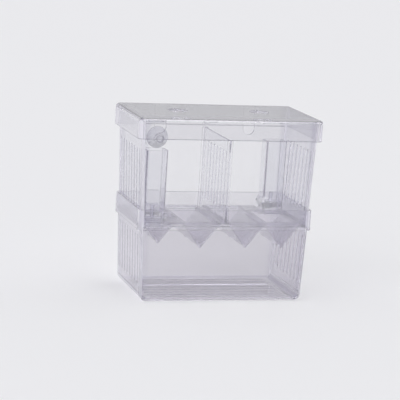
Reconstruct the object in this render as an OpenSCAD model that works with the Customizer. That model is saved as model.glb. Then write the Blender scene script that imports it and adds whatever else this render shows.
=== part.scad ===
// Two-storey fish breeding box of clear plastic: a lower tank, an upper tank seated in its
// collar, a lid, a slotted divider, two trays of V troughs, two corner air ducts with airline
// nozzles, and a suction cup on the back.
// Millimetres, +Z up, front towards -Y. The origin is the middle of the rest face.

/* [Overall] */
// Width over the lid
lid_w = 200; // [166:1:240]
// Depth over the lid, front to back
lid_d = 108; // [96:1:130]
// Height from the rest face to the top of the lid
total_h = 195; // [176:1:236]

/* [Tanks] */
// Wall of both tanks
wall_t = 2; // [1.6:0.1:2.4]
// How far the lid stands out past the tank walls, each side
lid_overhang = 4; // [3.6:0.1:6]
// Lean of the side walls in degrees, so that the tanks narrow downwards
side_lean = 2.5; // [0:0.1:3]
// Height of the shelf in the lower tank that carries the upper tank
lower_h = 80; // [66:1:92]
// Height of the collar above that shelf
collar_rise = 18.3; // [10:0.1:24]
// Height of the collar below that shelf
collar_drop = 3; // [2:0.5:8]
// Wall of the collar
collar_t = 2.4; // [1.6:0.1:3]
// Corner radius of the tanks seen from above
tank_corner_r = 4; // [3.6:0.1:8]
// Radius of the bottom edges under the side walls
side_bottom_r = 10; // [6:0.5:14]
// Radius of the bottom edges under the front and back walls
front_bottom_r = 7; // [5:0.5:12]

/* [Lid] */
// Height of the lid with its skirt
lid_h = 23; // [16:0.5:28]
// Thickness of the lid top
lid_t = 2.5; // [2:0.1:3]
// Wall of the lid skirt
skirt_t = 2.2; // [1.6:0.1:2.6]
// Radius round the top edge and down the corners of the lid
lid_edge_r = 6; // [4:0.5:8]
// Diameter of the two feeding holes
feed_hole_d = 20; // [14:0.5:24]
// Distance of each feeding hole from the middle
feed_hole_x = 45; // [34:1:56]

/* [Heights below the lid top] */
// Down to the top of the divider
divider_drop = 24; // [20:0.5:30]
// Down to the open top of the air ducts
duct_drop = 35.5; // [32:0.5:44]
// Down to the top of the slots in the upper tank
upper_slot_drop = 35; // [30:0.5:44]
// Down to the top of the slots in the divider
divider_slot_drop = 36; // [32:0.5:44]
// Down to the bottom of the notches in the back rim
notch_drop = 31.6; // [28:0.1:32]
// Down to the middle of the suction cup
cup_drop = 38; // [37:0.5:44]

/* [Slots] */
// Number of slots in every slotted wall
slot_count = 8; // [6:1:9]
// Width of a slot in the upper tank and in the divider
slot_w = 3; // [2:0.1:3.6]
// Width of a slot in the lower tank, narrow enough to keep fry in
fry_slot_w = 2; // [1.4:0.1:2.6]
// Bottom of the slots in the upper tank and the divider, above the ledge
upper_slot_rise = 13.5; // [8:0.5:20]
// Bottom of the slots in the lower tank, above the rest face
lower_slot_z = 18; // [14:0.5:24]
// Top of the slots in the lower tank, below the shelf
lower_slot_drop = 10; // [6:0.5:16]
// Wall left beside the outer slots, on top of half a pitch
slot_margin = 6; // [4:0.5:8]

/* [Inside] */
// Thickness of the ledge that carries the loose pieces
ledge_t = 2.2; // [1.8:0.1:3]
// Width of the ledge along the side walls
side_ledge = 5; // [4:0.5:8]
// Width of the ledge along the front and back walls
end_ledge = 4; // [3:0.5:6]
// Width of the cross beam under the divider
beam_w = 10; // [9:0.5:14]
// Thickness of the divider
divider_t = 2; // [1.6:0.1:2.6]
// Thickness of the trough walls and of the tray flange
tray_t = 1.6; // [1.2:0.1:2]
// Depth of a V trough below the ledge
trough_depth = 24.3; // [18:0.1:28]
// Width of the slit along the bottom of a trough
slit_w = 3; // [2:0.1:4]
// Width of an air duct, left to right
duct_w = 23; // [19:0.5:25]
// Depth of an air duct, front to back
duct_d = 20; // [18:0.5:22]
// Wall of an air duct
duct_t = 1.5; // [1.2:0.1:1.8]
// How far the foot of an air duct bulges out
foot_bulge = 3.5; // [2:0.1:5]

/* [Fittings] */
// Outside diameter of the airline nipple
nipple_d = 4.8; // [4:0.1:5.4]
// Bore of the airline nipple
nipple_bore = 2.4; // [1.6:0.1:2.8]
// Length of the airline nipple
nipple_l = 12; // [8:0.5:16]
// Diameter of the suction cup
cup_d = 24; // [20:0.5:30]
// Distance of the suction cup and of the rim notches from the middle
cup_x = 50; // [40:1:60]

/* [Hidden] */
round_fn = 64;
overcut = 1;
seat_gap = 0.3;
side_gap = 0.4;

upper_z = lower_h + seat_gap;
ledge_z = upper_z + ledge_t;
piece_z = ledge_z + seat_gap;
rim_z = total_h - lid_t - seat_gap;
floor_t = 2.2;

// The side walls lean, so each width belongs to one height. The tanks are as deep all the way down.
narrowing = 2 * tan(side_lean);
rim_w = lid_w - 2 * lid_overhang;
collar_top_w = rim_w - narrowing * (rim_z - lower_h - collar_rise);
ledge_w = rim_w - narrowing * (rim_z - ledge_z) - 2 * wall_t;
shelf_w = collar_top_w;
tank_d = lid_d - 2 * lid_overhang;
inner_d = tank_d - 2 * wall_t;
inner_corner_r = tank_corner_r - wall_t;

slot_pitch = (tank_d - 2 * slot_margin) / slot_count;
upper_slot_z = ledge_z + upper_slot_rise;
upper_slot_top = total_h - upper_slot_drop;
divider_slot_top = total_h - divider_slot_drop;
lower_slot_top = lower_h - lower_slot_drop;

floor_rib_w = 1.5;
floor_rib_h = 1;
floor_rib_l = shelf_w - narrowing * lower_h - 2 * side_bottom_r - 8;

divider_l = inner_d - 2 * seat_gap;
divider_top = total_h - divider_drop;
channel_gap = divider_t + 2 * seat_gap;
channel_rib_w = 1.5;
channel_rib_d = 3;

lid_inner_r = 1.5;

notch_w = 13;
notch_bottom = total_h - notch_drop;

duct_right = ledge_w / 2 - seat_gap;
duct_left = duct_right - duct_w;
duct_back = inner_d / 2 - seat_gap;
duct_front = duct_back - duct_d;
duct_mid_x = (duct_left + duct_right) / 2;
duct_mid_y = (duct_front + duct_back) / 2;
duct_top = total_h - duct_drop;
duct_corner_r = 3;
foot_h = 13;
foot_low = piece_z + tray_t + 0.6;
foot_high = foot_low + foot_h;
spigot_step = 0.5;
spigot_w = duct_w - 2 * duct_t - 2 * spigot_step;
spigot_d = duct_d - 2 * duct_t - 2 * spigot_step;
spigot_t = 1.5;
spigot_h = 5;
nozzle_rise = 4.2;
plate_lap = 2.5;
notch_x = duct_left - foot_bulge - side_gap;
notch_y = duct_front - foot_bulge - side_gap;

flange_left = channel_gap / 2 + channel_rib_w + side_gap;
flange_right = ledge_w / 2 - side_gap;
flange_d = inner_d - 2 * side_gap;
flange_r = 3;
opening_left = beam_w / 2;
opening_right = ledge_w / 2 - side_ledge;
opening_d = inner_d - 2 * end_ledge;
trough_pitch = (opening_right - opening_left) / 2;
trough_gap = 0.5;
trough_half = trough_pitch / 2 - trough_gap;
trough_near_x = opening_left + trough_pitch / 2;
trough_far_x = trough_near_x + trough_pitch;
trough_back = opening_d / 2 - side_gap;
trough_short_back = notch_y - plate_lap - side_gap;
trough_slope = trough_depth / trough_half;
slit_count = 3;
slit_bridge = 4;
slit_h = 6;

nozzle_z = piece_z + nozzle_rise;
nozzle_plate_t = 2;
nozzle_plate_d = 7;

cup_z = total_h - cup_drop;
neck_r = 3;
neck_hole_r = neck_r + seat_gap;
knob_r = 4.4;
knob_l = 3.5;
cup_base_r = 5.5;
cup_l = 9;
cup_lip = 0.9;
cup_rim_h = 0.5;
cup_brow_h = 1.5;
cup_neck_h = 2;
cup_skin = 1.8;
knob_chamfer = 1;

// ---- shared shapes ----

// Rectangle with round corners, centred on the origin.
module rounded_rect(w, d, r) {
    square([w - 2 * r, d], center = true);
    square([w, d - 2 * r], center = true);
    for (sx = [-1, 1], sy = [-1, 1])
        translate([sx * (w / 2 - r), sy * (d / 2 - r)])
            circle(r = r, $fn = round_fn);
}

// Upright section with round bottom corners, w wide at its top. Its sides lean in by lean degrees
// going down, and each round corner meets the side and the bottom without a step.
module bowl_section(w, h, r, lean = 0) {
    middle = w / 2 - (h - r) * tan(lean) - r / cos(lean);
    meet_x = middle + r * cos(lean);
    meet_z = r - r * sin(lean);
    polygon([[-w / 2, h], [-meet_x, meet_z], [-middle, 0], [middle, 0], [meet_x, meet_z], [w / 2, h]]);
    for (side = [-1, 1])
        translate([side * middle, r])
            circle(r = r, $fn = round_fn);
}

// Block h high and w by d at its top, with corners of radius corner_r that lean with its sides.
module leaning_block(w, d, h, corner_r, lean) {
    intersection() {
        translate([-w, -d, 0])
            cube([2 * w, 2 * d, h]);
        leaning_side(w, d, h, corner_r, lean);
        mirror([1, 0, 0])
            leaning_side(w, d, h, corner_r, lean);
    }
}

// Long prism with its right side where the right side of a leaning block is.
module leaning_side(w, d, h, corner_r, lean) {
    translate([w / 2, 0, h])
        rotate([0, lean, 0])
            translate([-w, 0, -2 * h])
                linear_extrude(3 * h)
                    rounded_rect(2 * w, d, corner_r);
}

// Solid block with corners of corner_r and bottom edges of side_r and front_r.
module bin(w, d, h, corner_r, side_r, front_r, lean = 0) {
    intersection() {
        leaning_block(w, d, h, corner_r, lean);
        translate([0, d / 2, 0])
            rotate([90, 0, 0])
                linear_extrude(d)
                    bowl_section(w, h, side_r, lean);
        translate([-w / 2, 0, 0])
            rotate([90, 0, 90])
                linear_extrude(w)
                    bowl_section(d, h, front_r);
    }
}

// Upright slots with round ends, cut from low to high in both side walls.
module side_wall_slots(low, high, width) {
    for (i = [0 : slot_count - 1])
        translate([-lid_w / 2, (i - (slot_count - 1) / 2) * slot_pitch, 0])
            slot_cutter(low, high, width, lid_w);
}

// Cutter for one upright slot, reaching along +X.
module slot_cutter(low, high, width, reach) {
    translate([0, -width / 2, low + width / 2])
        cube([reach, width, high - low - width]);
    for (z = [low + width / 2, high - width / 2])
        translate([0, 0, z])
            rotate([0, 90, 0])
                cylinder(h = reach, r = width / 2, $fn = round_fn);
}

// ---- the tanks ----

module lower_tank() {
    collar_out = collar_t + side_gap;
    cavity_h = lower_h + overcut - floor_t;
    cavity_w = shelf_w - 2 * wall_t + narrowing * overcut;
    color("Lavender") {
        difference() {
            union() {
                bin(shelf_w, tank_d, lower_h, tank_corner_r, side_bottom_r, front_bottom_r,
                    side_lean);
                translate([0, 0, lower_h - collar_drop])
                    linear_extrude(collar_drop + collar_rise)
                        rounded_rect(shelf_w + 2 * collar_out, tank_d + 2 * collar_out,
                                     tank_corner_r + collar_out);
            }
            translate([0, 0, floor_t])
                bin(cavity_w, inner_d, cavity_h, inner_corner_r,
                    side_bottom_r - wall_t, front_bottom_r - wall_t, side_lean);
            translate([0, 0, lower_h])
                linear_extrude(collar_rise + overcut)
                    rounded_rect(shelf_w + 2 * side_gap, tank_d + 2 * side_gap,
                                 tank_corner_r + side_gap);
            side_wall_slots(lower_slot_z, lower_slot_top, fry_slot_w);
        }
        floor_ribs();
    }
}

module floor_ribs() {
    for (i = [0 : slot_count - 1])
        translate([-floor_rib_l / 2, (i - (slot_count - 1) / 2) * slot_pitch - floor_rib_w / 2,
                   floor_t / 2])
            cube([floor_rib_l, floor_rib_w, floor_t / 2 + floor_rib_h]);
}

module upper_tank() {
    color("GhostWhite")
        difference() {
            union() {
                tank_shell();
                divider_channels();
                for (turn = [0, 180])
                    rotate(turn)
                        duct_corner();
            }
            for (turn = [0, 180])
                rotate(turn)
                    duct_seat_hole();
            side_wall_slots(upper_slot_z, upper_slot_top, slot_w);
            for (side = [-1, 1])
                translate([side * cup_x, 0, 0])
                    rim_notch();
            translate([-cup_x, inner_d / 2 - overcut, cup_z])
                rotate([-90, 0, 0])
                    cylinder(h = wall_t + 2 * overcut, r = neck_hole_r, $fn = round_fn);
        }
}

// Four walls, and a bottom ledge with one opening per chamber beside the cross beam.
module tank_shell() {
    shell_h = rim_z - upper_z;
    translate([0, 0, upper_z])
        difference() {
            leaning_block(rim_w, tank_d, shell_h, tank_corner_r, side_lean);
            translate([0, 0, ledge_t])
                leaning_block(rim_w - 2 * wall_t + narrowing * overcut, inner_d,
                              shell_h - ledge_t + overcut, inner_corner_r, side_lean);
            for (side = [-1, 1])
                translate([side * (opening_left + opening_right) / 2, 0, 0])
                    cube([opening_right - opening_left, opening_d, 2 * ledge_t + overcut],
                         center = true);
        }
}

// Upright ribs on the front and back walls that guide the ends of the divider.
module divider_channels() {
    for (side = [-1, 1], end = [-1, 1])
        translate([side * (channel_gap + channel_rib_w) / 2 - channel_rib_w / 2,
                   end * (inner_d - channel_rib_d + overcut) / 2 - (channel_rib_d + overcut) / 2,
                   ledge_z - overcut])
            cube([channel_rib_w, channel_rib_d + overcut, divider_top - ledge_z + overcut]);
}

// Corner plate at the level of the ledge, which the duct stands on.
module duct_corner() {
    plate_x = notch_x - plate_lap;
    plate_y = notch_y - plate_lap;
    translate([plate_x, plate_y, upper_z])
        cube([ledge_w / 2 + overcut - plate_x, inner_d / 2 + overcut - plate_y, ledge_t]);
}

// Hole in the corner plate for the spigot of the duct.
module duct_seat_hole() {
    translate([duct_mid_x, duct_mid_y, upper_z - overcut])
        linear_extrude(ledge_t + 2 * overcut)
            square([spigot_w + 2 * seat_gap, spigot_d + 2 * seat_gap], center = true);
}

// U-shaped notch in the rim of the back wall.
module rim_notch() {
    translate([0, tank_d / 2 + overcut, 0])
        rotate([90, 0, 0])
            linear_extrude(wall_t + 2 * overcut) {
                translate([0, notch_bottom + notch_w / 2])
                    circle(d = notch_w, $fn = round_fn);
                translate([-notch_w / 2, notch_bottom + notch_w / 2])
                    square([notch_w, total_h]);
            }
}

// ---- the lid and the loose pieces ----

module lid() {
    color("Silver")
        difference() {
            lid_block(lid_w, lid_d, lid_h, lid_edge_r, lid_edge_r, total_h);
            lid_block(lid_w - 2 * skirt_t, lid_d - 2 * skirt_t, lid_h,
                      lid_edge_r - skirt_t, lid_inner_r, total_h - lid_t);
            for (side = [-1, 1])
                translate([side * feed_hole_x, 0, total_h - lid_t - overcut])
                    cylinder(h = lid_t + 2 * overcut, d = feed_hole_d, $fn = round_fn);
        }
}

// Block hanging down from top_z, with upright corners of corner_r and a top edge of edge_r.
module lid_block(w, d, h, corner_r, edge_r, top_z) {
    translate([0, 0, top_z])
        mirror([0, 0, 1])
            bin(w, d, h, corner_r, edge_r, edge_r);
}

module divider() {
    color("White")
        difference() {
            translate([-divider_t / 2, -divider_l / 2, piece_z])
                cube([divider_t, divider_l, divider_top - piece_z]);
            for (i = [0 : slot_count - 1])
                translate([-divider_t, (i - (slot_count - 1) / 2) * slot_pitch, 0])
                    slot_cutter(upper_slot_z, divider_slot_top, slot_w, 2 * divider_t);
        }
}

// Flange resting on the ledge, with two V troughs hanging through the opening.
module trough_tray() {
    color("Thistle")
        difference() {
            union() {
                tray_flange();
                trough_body(trough_near_x, trough_back);
                trough_body(trough_far_x, trough_short_back);
            }
            trough_hollow(trough_near_x, trough_back);
            trough_hollow(trough_far_x, trough_short_back);
        }
}

module tray_flange() {
    flange_w = flange_right - flange_left;
    translate([flange_left + flange_w / 2, 0, piece_z])
        linear_extrude(tray_t)
            difference() {
                rounded_rect(flange_w, flange_d, flange_r);
                translate([notch_x - flange_left - flange_w / 2, notch_y])
                    square([duct_w * 2, duct_d * 2]);
            }
}

// Outside of a V trough centred at x, from its front end to its back end.
module trough_body(x, back) {
    front = -trough_back;
    translate([x, back, 0])
        rotate([90, 0, 0])
            linear_extrude(back - front)
                polygon([[-trough_half, piece_z + tray_t], [-trough_half, upper_z],
                         [0, upper_z - trough_depth],
                         [trough_half, upper_z], [trough_half, piece_z + tray_t]]);
}

// Inside of the same trough, with the slits along its bottom.
module trough_hollow(x, back) {
    front = -trough_back;
    half = trough_half - tray_t;
    low = upper_z - trough_depth + tray_t * sqrt(1 + trough_slope * trough_slope);
    shoulder = low + half * trough_slope;
    translate([x, back - tray_t, 0])
        rotate([90, 0, 0])
            linear_extrude(back - front - 2 * tray_t)
                polygon([[-half, rim_z], [-half, shoulder], [0, low], [half, shoulder], [half, rim_z]]);
    slit_l = (back - front - 2 * tray_t - (slit_count + 1) * slit_bridge) / slit_count;
    for (i = [0 : slit_count - 1])
        translate([x - slit_w / 2, front + tray_t + slit_bridge + i * (slit_l + slit_bridge),
                   upper_z - trough_depth - overcut])
            cube([slit_w, slit_l, slit_h]);
}

// Square tube standing in the back right corner, with a bulging foot and a spigot below it that
// goes down through the corner plate.
module air_duct() {
    color("WhiteSmoke")
        difference() {
            union() {
                translate([duct_mid_x, duct_mid_y, piece_z])
                    linear_extrude(duct_top - piece_z)
                        rounded_rect(duct_w, duct_d, duct_corner_r);
                translate([duct_mid_x, duct_mid_y, piece_z - spigot_h])
                    linear_extrude(spigot_h + overcut)
                        square([spigot_w, spigot_d], center = true);
                duct_foot();
            }
            translate([duct_mid_x, duct_mid_y, piece_z + spigot_t])
                linear_extrude(duct_top - piece_z)
                    square([duct_w - 2 * duct_t, duct_d - 2 * duct_t], center = true);
            translate([duct_mid_x, duct_mid_y, piece_z - spigot_h - overcut])
                linear_extrude(duct_top - piece_z)
                    square([spigot_w - 2 * spigot_t, spigot_d - 2 * spigot_t], center = true);
        }
}

// The foot bulges towards the chamber only, on its left and front faces.
module duct_foot() {
    intersection() {
        translate([0, duct_back - duct_corner_r, 0])
            rotate([90, 0, 0])
                linear_extrude(2 * duct_d)
                    foot_section(duct_left, duct_right - duct_corner_r);
        translate([duct_right - duct_corner_r, 0, 0])
            rotate([90, 0, -90])
                linear_extrude(2 * duct_w)
                    mirror([1, 0, 0])
                        foot_section(duct_front, duct_back - duct_corner_r);
    }
}

module foot_section(near, far) {
    polygon([[near, foot_low], [near - foot_bulge, (foot_low + foot_high) / 2], [near, foot_high],
             [far, foot_high], [far, foot_low]]);
}

// Airline nipple on a cross plate held between the walls of the duct.
module air_nozzle() {
    plate_w = duct_w - 2 * duct_t;
    color("Gainsboro")
        translate([duct_mid_x, duct_mid_y, nozzle_z])
            difference() {
                union() {
                    translate([-plate_w / 2, -nozzle_plate_d / 2, 0])
                        cube([plate_w, nozzle_plate_d, nozzle_plate_t]);
                    cylinder(h = nozzle_plate_t + nipple_l, d = nipple_d, $fn = round_fn);
                }
                translate([0, 0, -overcut])
                    cylinder(h = nozzle_plate_t + nipple_l + 2 * overcut, d = nipple_bore,
                             $fn = round_fn);
            }
}

// Soft cup behind the back wall, with its neck through the wall and its knob inside.
// The section is drawn with its first number across the axis and its second along it.
module suction_cup() {
    knob_in = -seat_gap - knob_l;
    base_out = wall_t + seat_gap;
    brow = base_out + cup_neck_h;
    lip = base_out + cup_l;
    color("Azure")
        translate([-cup_x, inner_d / 2, cup_z])
            rotate([-90, 0, 0])
                rotate_extrude($fn = round_fn)
                    polygon([[0, knob_in], [knob_r - knob_chamfer, knob_in],
                             [knob_r, knob_in + knob_chamfer], [knob_r, -seat_gap],
                             [neck_r, -seat_gap], [neck_r, base_out],
                             [cup_base_r, base_out], [cup_base_r, brow],
                             [cup_d / 2 - knob_chamfer, lip - cup_brow_h],
                             [cup_d / 2, lip - cup_rim_h], [cup_d / 2, lip],
                             [cup_d / 2 - cup_lip, lip],
                             [cup_base_r - cup_lip, brow + cup_skin], [0, brow + cup_skin]]);
}

module left_trough_tray() {
    rotate(180)
        trough_tray();
}

module right_trough_tray() {
    trough_tray();
}

module left_air_duct() {
    rotate(180)
        air_duct();
}

module right_air_duct() {
    air_duct();
}

module left_air_nozzle() {
    rotate(180)
        air_nozzle();
}

module right_air_nozzle() {
    air_nozzle();
}

lower_tank();
upper_tank();
lid();
divider();
left_trough_tray();
right_trough_tray();
left_air_duct();
right_air_duct();
left_air_nozzle();
right_air_nozzle();
suction_cup();
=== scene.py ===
"""Looks of the fish breeding box: clear moulded plastic on a plain pale floor.

Lengths are in metres, angles in degrees and colours in linear red, green and blue.
"""
import math
from dataclasses import dataclass

import bmesh
import bpy
from mathutils import Matrix, Vector


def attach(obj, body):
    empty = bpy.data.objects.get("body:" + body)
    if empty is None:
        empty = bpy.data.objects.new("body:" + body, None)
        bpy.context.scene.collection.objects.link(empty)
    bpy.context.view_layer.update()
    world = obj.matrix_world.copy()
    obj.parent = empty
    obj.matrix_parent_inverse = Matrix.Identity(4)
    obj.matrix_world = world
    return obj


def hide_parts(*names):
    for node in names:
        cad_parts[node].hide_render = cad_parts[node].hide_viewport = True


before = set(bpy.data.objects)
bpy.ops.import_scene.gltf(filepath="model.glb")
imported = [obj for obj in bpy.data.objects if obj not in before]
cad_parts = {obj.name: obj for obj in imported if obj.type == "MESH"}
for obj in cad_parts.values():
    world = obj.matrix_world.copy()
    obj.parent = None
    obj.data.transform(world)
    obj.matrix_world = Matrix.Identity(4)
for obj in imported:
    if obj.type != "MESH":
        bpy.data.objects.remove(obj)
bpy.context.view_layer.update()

# ---- camera, fitted to the outline of the box in the photograph ----

CAMERA_PLACE = Vector((-0.5631, -1.803, 0.4551))
CAMERA_RIGHT = Vector((0.9582, -0.2792, 0.0624))
CAMERA_BACK = Vector((-0.286, -0.9401, 0.1857))
LENS_MM = 162.0
SENSOR_MM = 36.0
NEAREST_SEEN = 0.05
FARTHEST_SEEN = 50.0


def add_camera():
    data = bpy.data.cameras.new("camera")
    data.lens = LENS_MM
    data.sensor_width = SENSOR_MM
    data.sensor_fit = "HORIZONTAL"
    data.clip_start = NEAREST_SEEN
    data.clip_end = FARTHEST_SEEN
    camera = bpy.data.objects.new("camera", data)
    bpy.context.collection.objects.link(camera)
    back = CAMERA_BACK.normalized()
    right = (CAMERA_RIGHT - back * CAMERA_RIGHT.dot(back)).normalized()
    up = back.cross(right)
    turn = Matrix((right, up, back)).transposed().to_4x4()
    camera.matrix_world = Matrix.Translation(CAMERA_PLACE) @ turn
    bpy.context.scene.camera = camera


# ---- node graphs ----

# Sockets of a colour mix node, whose names aren't unique.
FIRST_COLOUR = 6
SECOND_COLOUR = 7
MIXED_COLOUR = 2


class Graph:
    """Node graph of a material or a world, empty at first."""

    def __init__(self, owner):
        owner.use_nodes = True
        self.nodes = owner.node_tree.nodes
        self.links = owner.node_tree.links
        self.nodes.clear()

    def add(self, kind, inputs=None, **settings):
        """New node. Each input is a value, or the socket that feeds it."""
        node = self.nodes.new(kind)
        for name, setting in settings.items():
            setattr(node, name, setting)
        for key, value in (inputs or {}).items():
            if isinstance(value, bpy.types.NodeSocket):
                self.links.new(value, node.inputs[key])
            else:
                node.inputs[key].default_value = value
        return node


def opaque(colour):
    return (*colour, 1.0)


def maths(graph, operation, *values):
    node = graph.add("ShaderNodeMath", dict(enumerate(values)), operation=operation)
    return node.outputs["Value"]


def map_range(graph, value, span, result=(0.0, 1.0)):
    """Value mapped from span to result, and held at result's ends past them."""
    inputs = {"Value": value, "From Min": span[0], "From Max": span[1],
              "To Min": result[0], "To Max": result[1]}
    return graph.add("ShaderNodeMapRange", inputs).outputs["Result"]


def blend_colour(graph, way, factor, first, second):
    """Second colour mixed into the first, or multiplied with it, as far as factor says."""
    inputs = {"Factor": factor, FIRST_COLOUR: first, SECOND_COLOUR: second}
    node = graph.add("ShaderNodeMix", inputs, data_type="RGBA", blend_type=way)
    return node.outputs[MIXED_COLOUR]


def blend_shader(graph, factor, first, second):
    """From the first shader at factor 0 to the second at factor 1."""
    return graph.add("ShaderNodeMixShader", {"Fac": factor, 1: first, 2: second}).outputs["Shader"]


def noise(graph, scale, detail, stretch=(1.0, 1.0, 1.0)):
    """Noise that is fixed to the piece, with its stretch along each axis."""
    place = graph.add("ShaderNodeTexCoord").outputs["Object"]
    mapping = graph.add("ShaderNodeMapping", {"Vector": place, "Scale": stretch})
    inputs = {"Vector": mapping.outputs["Vector"], "Scale": scale, "Detail": detail}
    return graph.add("ShaderNodeTexNoise", inputs).outputs["Fac"]


def place_mask(graph, axis, start, full):
    """From 0 to 1 by how far from the origin a point lies along one axis."""
    place = graph.add("ShaderNodeTexCoord").outputs["Object"]
    split = graph.add("ShaderNodeSeparateXYZ", {"Vector": place})
    distance = maths(graph, "ABSOLUTE", split.outputs[axis])
    return map_range(graph, distance, (start, full))


def rounded_mask(graph, span, upright):
    """From 0 on flat faces to 1 on rounded ones, or on rounded upright corners alone."""
    normal = graph.add("ShaderNodeTexCoord").outputs["Normal"]
    sizes = graph.add("ShaderNodeVectorMath", {0: normal}, operation="ABSOLUTE")
    split = graph.add("ShaderNodeSeparateXYZ", {"Vector": sizes.outputs["Vector"]})
    x, y, z = (split.outputs[axis] for axis in "XYZ")
    if upright:
        turned = maths(graph, "MULTIPLY", x, y)
    else:
        most = maths(graph, "MAXIMUM", maths(graph, "MAXIMUM", x, y), z)
        turned = maths(graph, "SUBTRACT", 1.0, most)
    return map_range(graph, turned, span)


# ---- clear plastic ----

# Flow marks of the moulding, drawn out sideways; long waves in the faces; and fine wear.
FLOW_SCALE = 14.0
FLOW_DETAIL = 3.0
FLOW_STRETCH = (1.0, 1.0, 2.5)
WAVE_SCALE = 30.0
WAVE_DETAIL = 1.0
WAVE_DEPTH = 0.002
WEAR_SCALE = 160.0
WEAR_DETAIL = 4.0
WEAR_SPAN = (0.3, 0.7)

# Where the painted shade and the painted highlight of rounded corners begin and are full, from 0 on a
# flat face.
CORNER_SPAN = (0.06, 0.2)
UPRIGHT_SPAN = (0.32, 0.48)
PAINTED_HIGHLIGHT_SPAN = (0.1, 0.3)

# Colour of the light that scatters, in cloudy plastic and in the painted highlight of upright
# corners, and the share of it that scatters backwards.
MILK_AND_HIGHLIGHT_COLOUR = (0.93, 0.92, 0.97)
MILK_BACK_SHARE = 0.5

# A tint is the colour of a whole wall, and light that isn't bent meets half of it at each face.
HALF_TINT_GAMMA = 0.5

# Share of light that a shadow keeps at each face.
SHADOW_TINT = 0.95

# Light that has been bent or reflected more often than this is trapped in a wall. It then leaves
# straight, in this colour, where it would otherwise end black.
MOST_TURNS = 11.5
ESCAPE_COLOUR = (0.90, 0.895, 0.92)


@dataclass
class Plastic:
    """One clear plastic. A shade is a painted shade: a colour that multiplies the plastic's own."""

    name: str
    # Colour of the flow marks, and the colour between them.
    tint: tuple
    pale: tuple
    # Roughness, at the least and at the most worn.
    roughness: tuple = (0.0, 0.02)
    ior: float = 1.42
    # Strength of the waves in its faces.
    wave: float = 0.002
    # Share of light that scatters, share that passes without bending, and share that scatters in
    # the upright corners as a painted highlight.
    milk: float = 0.0
    straight: float = 0.0
    painted_corner_highlight: float = 0.0
    # Painted shades by place, each with its axis and the distances where it begins and is full.
    painted_place_shades: tuple = ()
    # Painted shade of rounded corners, and whether it is for upright ones alone.
    painted_corner_shade: tuple = ()
    upright_shade: bool = False


def plastic_colour(graph, plastic):
    """Colour with flow marks and the plastic's painted shades."""
    flow = noise(graph, FLOW_SCALE, FLOW_DETAIL, FLOW_STRETCH)
    colour = blend_colour(graph, "MIX", flow, opaque(plastic.tint), opaque(plastic.pale))
    for shade, axis, start, full in plastic.painted_place_shades:
        mask = place_mask(graph, axis, start, full)
        colour = blend_colour(graph, "MULTIPLY", mask, colour, opaque(shade))
    if plastic.painted_corner_shade:
        span = UPRIGHT_SPAN if plastic.upright_shade else CORNER_SPAN
        mask = rounded_mask(graph, span, plastic.upright_shade)
        colour = blend_colour(graph, "MULTIPLY", mask, colour, opaque(plastic.painted_corner_shade))
    return colour


def surface_finish(graph, plastic):
    """Roughness and normal of its faces."""
    wear = noise(graph, WEAR_SCALE, WEAR_DETAIL)
    roughness = map_range(graph, wear, WEAR_SPAN, plastic.roughness)
    waves = noise(graph, WAVE_SCALE, WAVE_DETAIL)
    bump = graph.add("ShaderNodeBump",
                     {"Height": waves, "Strength": plastic.wave, "Distance": WAVE_DEPTH})
    return {"Roughness": roughness, "Normal": bump.outputs["Normal"]}


def bent_light(graph, plastic, colour, finish):
    """Light that bends as it enters and leaves the plastic, and the gloss of the faces."""
    inputs = {"Base Color": colour, "Transmission Weight": 1.0, "IOR": plastic.ior, **finish}
    return graph.add("ShaderNodeBsdfPrincipled", inputs).outputs["BSDF"]


def outer_gloss(graph, ior):
    """Mirror share of a face seen from outside, and 0 from inside the plastic."""
    fresnel = graph.add("ShaderNodeFresnel", {"IOR": ior}).outputs["Fac"]
    inside = graph.add("ShaderNodeNewGeometry").outputs["Backfacing"]
    outside = maths(graph, "SUBTRACT", 1.0, inside)
    return maths(graph, "MULTIPLY", fresnel, outside)


def straight_light(graph, plastic, colour, finish):
    """Light that passes without bending, under the gloss of the outer face."""
    half = graph.add("ShaderNodeGamma", {"Color": colour, "Gamma": HALF_TINT_GAMMA})
    through = graph.add("ShaderNodeBsdfTransparent", {"Color": half.outputs["Color"]})
    shine = graph.add("ShaderNodeBsdfGlossy", finish)
    gloss = outer_gloss(graph, plastic.ior)
    return blend_shader(graph, gloss, through.outputs["BSDF"], shine.outputs["BSDF"])


def milk_and_painted_highlight(graph):
    """Light that scatters forwards and backwards, as in cloudy plastic and as a painted highlight."""
    forwards = graph.add("ShaderNodeBsdfTranslucent", {"Color": opaque(MILK_AND_HIGHLIGHT_COLOUR)})
    backwards = graph.add("ShaderNodeBsdfDiffuse", {"Color": opaque(MILK_AND_HIGHLIGHT_COLOUR)})
    return blend_shader(graph, MILK_BACK_SHARE, forwards.outputs["BSDF"], backwards.outputs["BSDF"])


def let_trapped_light_out(graph, body):
    turns = graph.add("ShaderNodeLightPath").outputs["Ray Depth"]
    trapped = maths(graph, "GREATER_THAN", turns, MOST_TURNS)
    escape = graph.add("ShaderNodeBsdfTransparent", {"Color": opaque(ESCAPE_COLOUR)})
    return blend_shader(graph, trapped, body, escape.outputs["BSDF"])


def lighten_shadow(graph, body):
    """Shadow of clear plastic: each face takes a little of the lamps' light."""
    shadow_ray = graph.add("ShaderNodeLightPath").outputs["Is Shadow Ray"]
    shadow = graph.add("ShaderNodeBsdfTransparent", {"Color": opaque([SHADOW_TINT] * 3)})
    return blend_shader(graph, shadow_ray, body, shadow.outputs["BSDF"])


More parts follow.
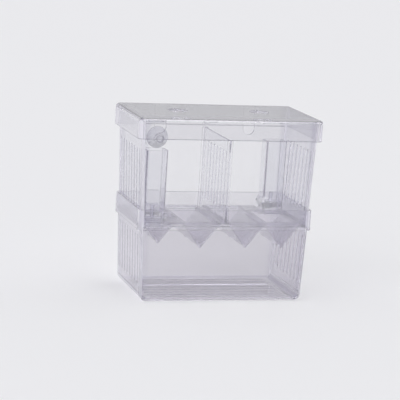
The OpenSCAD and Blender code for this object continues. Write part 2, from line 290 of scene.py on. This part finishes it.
def plastic_material(plastic):
    """Material of one clear plastic."""
    material = bpy.data.materials.new(plastic.name)
    graph = Graph(material)
    colour = plastic_colour(graph, plastic)
    finish = surface_finish(graph, plastic)
    bent = bent_light(graph, plastic, colour, finish)
    straight = straight_light(graph, plastic, colour, finish)
    milk_and_highlight = milk_and_painted_highlight(graph)
    body = blend_shader(graph, plastic.straight, bent, straight)
    body = blend_shader(graph, plastic.milk, body, milk_and_highlight)
    # Painted highlight: the upright corners scatter the lamps' light and show as bright lines.
    if plastic.painted_corner_highlight:
        corners = rounded_mask(graph, PAINTED_HIGHLIGHT_SPAN, upright=True)
        share = maths(graph, "MULTIPLY", corners, plastic.painted_corner_highlight)
        body = blend_shader(graph, share, body, milk_and_highlight)
    body = let_trapped_light_out(graph, body)
    surface = lighten_shadow(graph, body)
    graph.add("ShaderNodeOutputMaterial", {"Surface": surface})
    return material


# ---- the plastics of the box ----

# Upper tank, its side walls a little darker by painted shade, its upright corners a painted
# highlight.
UPPER_TANK = Plastic(
    "tank_plastic",
    tint=(0.955, 0.955, 0.962),
    pale=(0.970, 0.970, 0.976),
    painted_place_shades=(((0.86, 0.855, 0.89), "X", 0.085, 0.089),),
    painted_corner_highlight=0.75)

# Lower tank, greyer than the upper one by painted shade. Its painted shades are for the side walls,
# for what lies below the collar and for its rounded corners; its upright corners hold a painted
# highlight.
LOWER_TANK = Plastic(
    "lower_plastic",
    tint=(0.89, 0.885, 0.905),
    pale=(0.92, 0.915, 0.93),
    painted_place_shades=(((0.93, 0.925, 0.95), "X", 0.080, 0.084),
                  ((0.94, 0.935, 0.945), "Z", 0.079, 0.075)),
    painted_corner_shade=(0.80, 0.79, 0.84),
    painted_corner_highlight=0.4)

# Lid, about as grey as the lower tank, with a painted highlight on its upright corners.
LID = Plastic(
    "lid_plastic",
    tint=(0.88, 0.875, 0.895),
    pale=(0.92, 0.915, 0.93),
    roughness=(0.0, 0.03),
    painted_corner_highlight=0.75)

# Trays, through which half of the light passes without bending.
TRAY = Plastic(
    "tray_plastic",
    tint=(0.91, 0.90, 0.94),
    pale=(0.935, 0.925, 0.96),
    straight=0.5)

DIVIDER = Plastic(
    "divider_plastic",
    tint=(0.90, 0.90, 0.925),
    pale=(0.94, 0.94, 0.955))

# Air ducts, whose upright corners are dark lines of painted shade.
DUCT = Plastic(
    "duct_plastic",
    tint=(0.93, 0.93, 0.95),
    pale=(0.96, 0.96, 0.97),
    painted_corner_shade=(0.45, 0.44, 0.48),
    upright_shade=True)

NOZZLE = Plastic(
    "nozzle_plastic",
    tint=(0.93, 0.93, 0.95),
    pale=(0.97, 0.97, 0.98),
    roughness=(0.02, 0.08))

# Soft plastic of the suction cup, cloudier than the hard plastic.
CUP = Plastic(
    "soft_cup",
    tint=(0.66, 0.66, 0.71),
    pale=(0.76, 0.76, 0.80),
    roughness=(0.1, 0.25),
    ior=1.45,
    milk=0.08)

# Rounded edges of the tanks, the lid and the divider, which show as fine lines of painted shade.
EDGE = Plastic(
    "edge_plastic",
    tint=(0.42, 0.41, 0.46),
    pale=(0.48, 0.47, 0.52),
    roughness=(0.0, 0.01),
    ior=1.15,
    wave=0.0,
    straight=1.0)

# Rounded edges of the trays and the nozzles, lines of painted shade paler than the other edges.
TRAY_EDGE = Plastic(
    "tray_edge_plastic",
    tint=(0.74, 0.72, 0.80),
    pale=(0.80, 0.78, 0.86),
    roughness=(0.0, 0.01),
    ior=1.2,
    wave=0.0)

# Rounded edges of the ducts and the suction cup, the darkest lines of painted shade.
DUCT_EDGE = Plastic(
    "duct_edge_plastic",
    tint=(0.24, 0.23, 0.27),
    pale=(0.30, 0.29, 0.33),
    roughness=(0.0, 0.01),
    ior=1.3,
    wave=0.0)

PLASTICS = (UPPER_TANK, LOWER_TANK, LID, TRAY, DIVIDER, DUCT, NOZZLE, CUP, EDGE, TRAY_EDGE, DUCT_EDGE)

# ---- pieces ----

# Points of a CAD mesh nearer than this are one, and faces that turn by less than this are one.
SAME_POINT = 1e-6
SAME_FACE = 0.5

# Faces across each rounded edge, and the place of their material in the piece's list.
EDGE_SEGMENTS = 2
EDGE_MATERIAL = 1

# Each node's body, its material slot, the width of its rounded edges, the least angle that is
# rounded, and the plastics of its faces and edges.
PIECES = {
    "lower_tank": ("lower_tank", "tank_plastic", 0.0005, 30.0, LOWER_TANK, EDGE),
    "upper_tank": ("upper_tank", "tank_plastic", 0.0005, 30.0, UPPER_TANK, EDGE),
    "lid": ("lid", "lid_plastic", 0.0005, 30.0, LID, EDGE),
    "divider": ("divider", "divider_plastic", 0.0004, 30.0, DIVIDER, EDGE),
    "left_trough_tray": ("left_tray", "tray_plastic", 0.0003, 30.0, TRAY, TRAY_EDGE),
    "right_trough_tray": ("right_tray", "tray_plastic", 0.0003, 30.0, TRAY, TRAY_EDGE),
    "left_air_duct": ("left_duct", "duct_plastic", 0.0003, 30.0, DUCT, DUCT_EDGE),
    "right_air_duct": ("right_duct", "duct_plastic", 0.0003, 30.0, DUCT, DUCT_EDGE),
    "left_air_nozzle": ("left_duct", "nozzle_plastic", 0.0002, 30.0, NOZZLE, TRAY_EDGE),
    "right_air_nozzle": ("right_duct", "nozzle_plastic", 0.0002, 30.0, NOZZLE, TRAY_EDGE),
    "suction_cup": ("suction_cup", "soft_cup", 0.0003, 40.0, CUP, DUCT_EDGE),
}


def clean_copy(node, name):
    """Copy of a CAD node's mesh, with its flat faces whole again."""
    mesh = bpy.data.meshes.new(name)
    work = bmesh.new()
    work.from_mesh(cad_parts[node].data)
    bmesh.ops.remove_doubles(work, verts=work.verts, dist=SAME_POINT)
    bmesh.ops.dissolve_limit(work, angle_limit=math.radians(SAME_FACE),
                             verts=work.verts, edges=work.edges)
    work.to_mesh(mesh)
    work.free()
    for face in mesh.polygons:
        face.use_smooth = True
    return mesh


def round_edges(piece, width, least_angle):
    """Rounds the sharp edges of a piece, in its edge material, and shades it smoothly."""
    bevel = piece.modifiers.new("edges", "BEVEL")
    bevel.width = width
    bevel.segments = EDGE_SEGMENTS
    bevel.limit_method = "ANGLE"
    bevel.angle_limit = math.radians(least_angle)
    bevel.material = EDGE_MATERIAL
    smooth = piece.modifiers.new("normals", "WEIGHTED_NORMAL")
    smooth.keep_sharp = True
    bpy.context.view_layer.update()
    depsgraph = bpy.context.evaluated_depsgraph_get()
    baked = bpy.data.meshes.new_from_object(piece.evaluated_get(depsgraph))
    piece.modifiers.clear()
    piece.data = baked


def add_piece(node, body, width, least_angle, face_material, edge_material):
    """Clear piece with rounded edges, which stands for a CAD node."""
    name = f"{node}_clear"
    mesh = clean_copy(node, name)
    mesh.materials.append(face_material)
    mesh.materials.append(edge_material)
    piece = bpy.data.objects.new(name, mesh)
    bpy.context.collection.objects.link(piece)
    round_edges(piece, width, least_angle)
    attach(piece, body)
    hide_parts(node)


def add_pieces():
    materials = {plastic.name: plastic_material(plastic) for plastic in PLASTICS}
    for node, (body, slot, width, least_angle, plastic, edge) in PIECES.items():
        add_piece(node, body, width, least_angle, materials[plastic.name], materials[edge.name])


# ---- stage ----

FLOOR_HALF = 30.0
FLOOR_DROP = 0.0004
FLOOR_COLOUR = (0.88, 0.88, 0.89)
FLOOR_ROUGHNESS = 0.9
FLOOR_SPECULAR = 0.1

# Brightness of the studio from the horizon (0) to straight overhead (1), and how much bluer than
# grey it is.
SKY_STOPS = ((0.0, 0.45), (0.12, 0.47), (0.35, 0.57), (1.0, 0.66))
SKY_BLUE = 1.03

# Direction in which each lamp shines, its strength and its spread.
LAMPS = {
    "key": ((-0.25, 0.55, -0.8), 0.8, 26.0),
    "fill": ((0.75, 0.5, -0.40), 1.0, 50.0),
}


def floor_material():
    material = bpy.data.materials.new("pale_floor")
    graph = Graph(material)
    paint = graph.add("ShaderNodeBsdfPrincipled",
                      {"Base Color": opaque(FLOOR_COLOUR), "Roughness": FLOOR_ROUGHNESS,
                       "Specular IOR Level": FLOOR_SPECULAR})
    graph.add("ShaderNodeOutputMaterial", {"Surface": paint.outputs["BSDF"]})
    return material


def add_floor():
    """Wide floor, a hair below the box."""
    mesh = bpy.data.meshes.new("floor")
    corners = [(x * FLOOR_HALF, y * FLOOR_HALF, -FLOOR_DROP)
               for x, y in ((-1, -1), (1, -1), (1, 1), (-1, 1))]
    mesh.from_pydata(corners, [], [(0, 1, 2, 3)])
    mesh.materials.append(floor_material())
    floor = bpy.data.objects.new("floor", mesh)
    bpy.context.collection.objects.link(floor)


def add_world():
    """Studio that grows brighter from the horizon up."""
    world = bpy.data.worlds.new("studio")
    bpy.context.scene.world = world
    graph = Graph(world)
    direction = graph.add("ShaderNodeTexCoord").outputs["Generated"]
    split = graph.add("ShaderNodeSeparateXYZ", {"Vector": direction})
    ramp = graph.add("ShaderNodeValToRGB", {"Fac": split.outputs["Z"]})
    stops = ramp.color_ramp.elements
    while len(stops) < len(SKY_STOPS):
        stops.new(0.5)
    for stop, (place, level) in zip(stops, SKY_STOPS):
        stop.position = place
        stop.color = (level, level, level * SKY_BLUE, 1.0)
    background = graph.add("ShaderNodeBackground", {"Color": ramp.outputs["Color"]})
    graph.add("ShaderNodeOutputWorld", {"Surface": background.outputs["Background"]})


def add_lamp(name, direction, strength, spread):
    data = bpy.data.lights.new(name, "SUN")
    data.energy = strength
    data.angle = math.radians(spread)
    lamp = bpy.data.objects.new(name, data)
    bpy.context.collection.objects.link(lamp)
    lamp.rotation_euler = Vector(direction).to_track_quat("-Z", "Y").to_euler()


# ---- the scene ----

# Light crosses many clear faces before it reaches the camera.
MOST_BOUNCES = 48
MOST_CLEAR_FACES = 64
MOST_GLOSSY_BOUNCES = 12

scene = bpy.context.scene
scene.view_settings.view_transform = "Standard"
scene.cycles.max_bounces = MOST_BOUNCES
scene.cycles.transmission_bounces = MOST_BOUNCES
scene.cycles.transparent_max_bounces = MOST_CLEAR_FACES
scene.cycles.glossy_bounces = MOST_GLOSSY_BOUNCES

add_camera()
add_floor()
add_world()
for lamp_name, (shines, lamp_strength, lamp_spread) in LAMPS.items():
    add_lamp(lamp_name, shines, lamp_strength, lamp_spread)
add_pieces()
